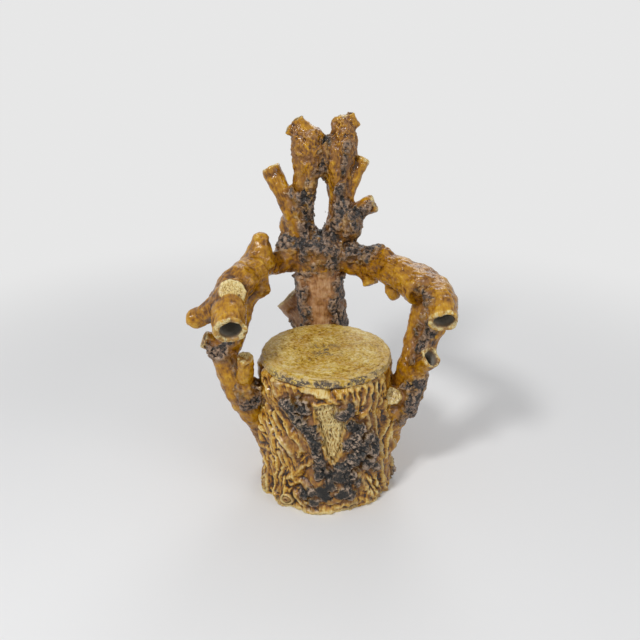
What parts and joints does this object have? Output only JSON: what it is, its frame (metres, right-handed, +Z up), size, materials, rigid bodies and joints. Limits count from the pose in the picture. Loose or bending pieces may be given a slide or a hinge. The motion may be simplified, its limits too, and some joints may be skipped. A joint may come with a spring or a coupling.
{
  "type": "grotto chair",
  "caption": "Glazed stoneware garden chair: a round seat on a hollow tree stump, with branch-shaped arms and back.",
  "frame": {"origin": "middle of the chair's footprint box, at floor level", "axes": "+Z up; the chair faces -Y; +X is to the right as seen from the front"},
  "size_m": [0.7302, 0.543, 1.0657],
  "materials": {
    "amber_glaze": "glossy amber glaze with brown streaks",
    "umber_glaze": "pinkish brown glaze, satin",
    "bark_crust": "granular charcoal and brown clay crust, half glossy",
    "cream_clay": "pale sawn clay with dark specks",
    "seat_glaze": "ochre glaze with fine flecks, worn at the rim"
  },
  "bodies": {
    "root": {"stump_wall": "amber_glaze", "seat_slab": "seat_glaze", "stump_crust_band": "bark_crust", "stump_crust_patch": "bark_crust", "stump_crust_hem": "bark_crust", "stump_crust_boss": "bark_crust", "stump_bark_brow": "amber_glaze", "stump_bark_flap": "umber_glaze", "stump_long_knot": "umber_glaze", "stump_round_knot": "cream_clay", "left_root": "amber_glaze", "right_root": "bark_crust", "back_trunk": "umber_glaze", "trunk_hollow_stub": "umber_glaze", "trunk_crust_left": "bark_crust", "trunk_crust_right": "bark_crust", "crown_knot": "bark_crust", "crown_crust_left": "bark_crust", "crown_crust_right": "bark_crust", "back_limb_left": "amber_glaze", "back_limb_middle": "amber_glaze", "back_limb_right": "amber_glaze", "left_limb_burl": "amber_glaze", "middle_limb_crust": "bark_crust", "fork_crust": "bark_crust", "limb_bridge_crust": "amber_glaze", "right_limb_crust": "bark_crust", "middle_limb_nub_low": "amber_glaze", "middle_limb_nub_high": "amber_glaze", "right_limb_spout": "amber_glaze", "right_limb_stub_upper": "amber_glaze", "right_limb_stub_lower": "umber_glaze", "left_arm_limb": "amber_glaze", "left_arm_pipe": "amber_glaze", "left_arm_upright_stub": "amber_glaze", "left_arm_ball_knob": "amber_glaze", "left_arm_sawn_stub": "cream_clay", "left_arm_inner_stub": "amber_glaze", "left_post_upper": "amber_glaze", "left_post_lower": "amber_glaze", "left_post_hollow_stub": "bark_crust", "left_post_sawn_stub": "amber_glaze", "left_post_crust": "bark_crust", "right_arm_limb": "amber_glaze", "right_arm_pipe": "amber_glaze", "right_arm_under_stub": "amber_glaze", "right_arm_ball_knob": "amber_glaze", "right_arm_top_knob": "amber_glaze", "right_post_inner": "amber_glaze", "right_post_outer": "amber_glaze", "right_post_lower": "bark_crust", "right_post_crust": "bark_crust", "right_post_lower_crust": "bark_crust", "right_post_hollow_stub": "amber_glaze", "right_post_sawn_stub": "cream_clay", "right_post_knob": "amber_glaze"}
  },
  "joints": []
}
